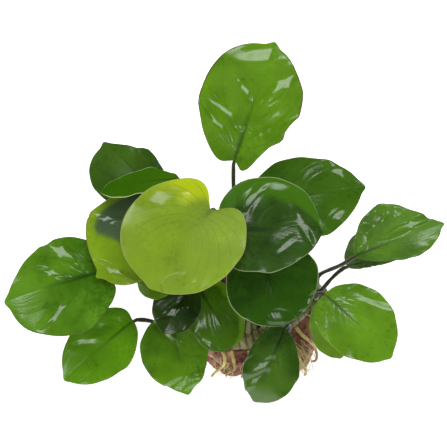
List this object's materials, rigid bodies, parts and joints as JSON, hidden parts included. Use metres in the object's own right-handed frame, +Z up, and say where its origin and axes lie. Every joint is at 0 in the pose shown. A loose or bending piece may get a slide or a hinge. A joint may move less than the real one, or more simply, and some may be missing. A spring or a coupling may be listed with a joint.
{
  "type": "aquarium plant on stone",
  "caption": "Small round-leaved aquarium plant whose creeping stem and roots grow over a rough reddish stone with a flat underside.",
  "frame": {"origin": "middle of the stone's flat underside, on the surface that the stone rests on", "axes": "+Z up from the surface, +X towards the growing end of the rhizome and the plant's right as seen from the front, +Y towards the back"},
  "size_m": [0.2075, 0.1529, 0.1095],
  "materials": {
    "blade_fresh": "glossy, wet",
    "blade_mid": "glossy, wet",
    "blade_dark": "glossy, wet",
    "stem": "smooth, wet",
    "rhizome": "ringed",
    "root": "fibrous",
    "stone": "rough, porous"
  },
  "bodies": {
    "root": {"stone": "stone", "rhizome": "rhizome", "root_front_left": "root", "root_front_left_short": "root", "root_front": "root", "root_front_middle": "root", "root_front_right": "root", "root_front_right_low": "root", "root_right": "root", "root_back_right": "root", "root_left": "root", "root_back_left": "root", "stem_back": "stem", "stem_back_left_low": "stem", "stem_back_left_high": "stem", "stem_crown": "stem", "stem_crown_left": "stem", "stem_far_left": "stem", "stem_front_far_left": "stem", "stem_front_left": "stem", "stem_shaded": "stem", "stem_inner_left": "stem", "stem_inner_right": "stem", "stem_centre": "stem", "stem_back_right": "stem", "stem_far_right": "stem", "stem_far_right_low": "stem", "stem_front_right": "stem", "stem_front_right_low": "stem", "stem_front": "stem", "stem_small": "stem", "leaf_back": "blade_mid", "leaf_back_left_low": "blade_dark", "leaf_back_left_high": "blade_dark", "leaf_crown": "blade_fresh", "leaf_crown_left": "blade_fresh", "leaf_far_left": "blade_mid", "leaf_front_far_left": "blade_mid", "leaf_front_left": "blade_mid", "leaf_shaded": "blade_dark", "leaf_inner_left": "blade_mid", "leaf_inner_right": "blade_dark", "leaf_centre": "blade_dark", "leaf_back_right": "blade_dark", "leaf_far_right": "blade_mid", "leaf_far_right_low": "blade_dark", "leaf_front_right": "blade_mid", "leaf_front_right_low": "blade_dark", "leaf_front": "blade_dark", "leaf_small": "blade_mid"}
  },
  "joints": []
}
